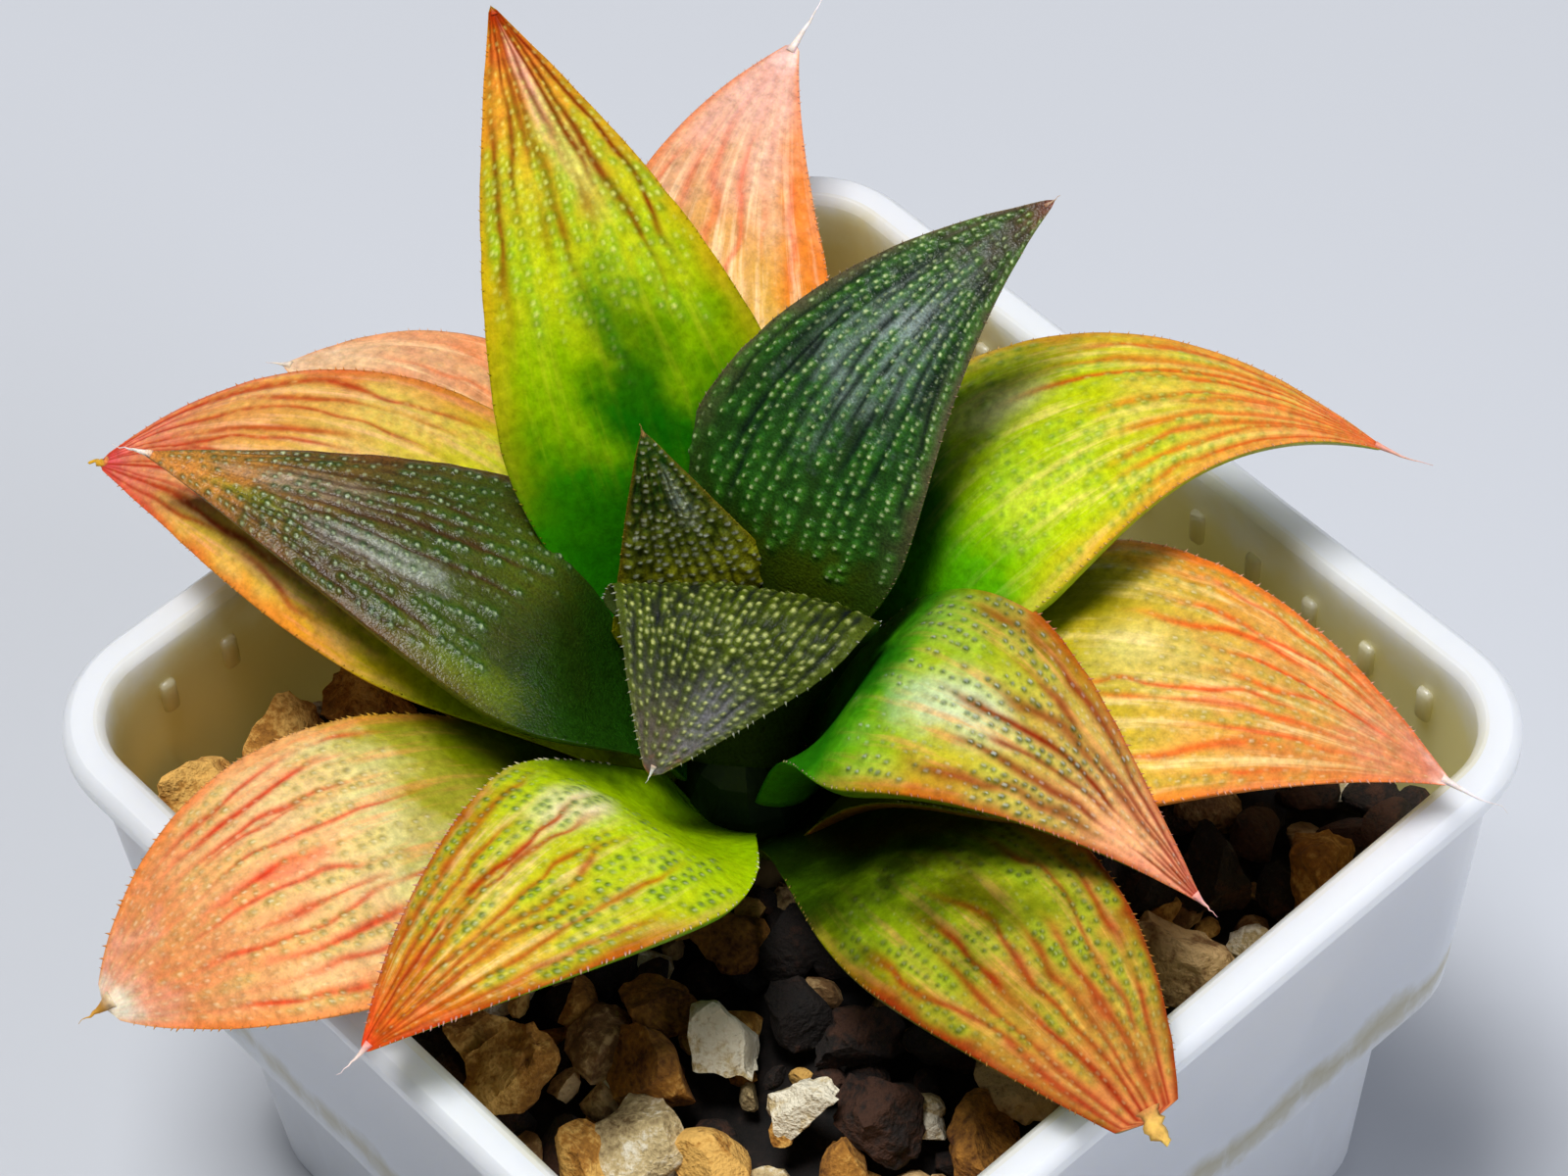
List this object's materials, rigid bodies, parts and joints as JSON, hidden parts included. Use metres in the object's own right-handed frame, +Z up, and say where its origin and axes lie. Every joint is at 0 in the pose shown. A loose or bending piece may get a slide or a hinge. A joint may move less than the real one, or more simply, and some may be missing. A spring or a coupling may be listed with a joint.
{
  "type": "potted haworthia",
  "caption": "Haworthia rosette with toothed, tubercled leaves, rooted in mineral grit in a small square white plastic nursery pot.",
  "frame": {"origin": "middle of the pot's base, on the surface it stands on", "axes": "+Z up; X and Y along the pot's sides; the rosette is turned 50.5 degrees about Z from the pot"},
  "size_m": [0.0886, 0.0902, 0.0825],
  "materials": {
    "pot_plastic": "smooth injection-moulded white polypropylene, slightly soiled",
    "grit": "dry, rough mineral grains: fired clay, pumice and lava",
    "stem": "pale fleshy stem and roots",
    "leaf_dark": "dark olive leaf skin with pale tubercles, satin gloss",
    "leaf_green": "lime green leaf skin with red veins, satin gloss",
    "leaf_sunned": "sun-flushed orange and pink leaf skin with red veins, satin gloss"
  },
  "bodies": {
    "root": {"pot": "pot_plastic", "grit_bed": "grit", "stem_with_roots": "stem", "leaf_01_heart_front": "leaf_dark", "leaf_02_heart_back": "leaf_dark", "leaf_03_dark_right": "leaf_dark", "leaf_04_dark_left": "leaf_dark", "leaf_05_front_right": "leaf_green", "leaf_06_tall_back": "leaf_green", "leaf_07_right": "leaf_green", "leaf_08_front_left": "leaf_green", "leaf_09_low_right": "leaf_sunned", "leaf_10_low_front": "leaf_green", "leaf_11_low_left": "leaf_sunned", "leaf_12_left": "leaf_green", "leaf_13_low_back_left": "leaf_sunned", "leaf_14_low_back": "leaf_sunned"}
  },
  "joints": []
}
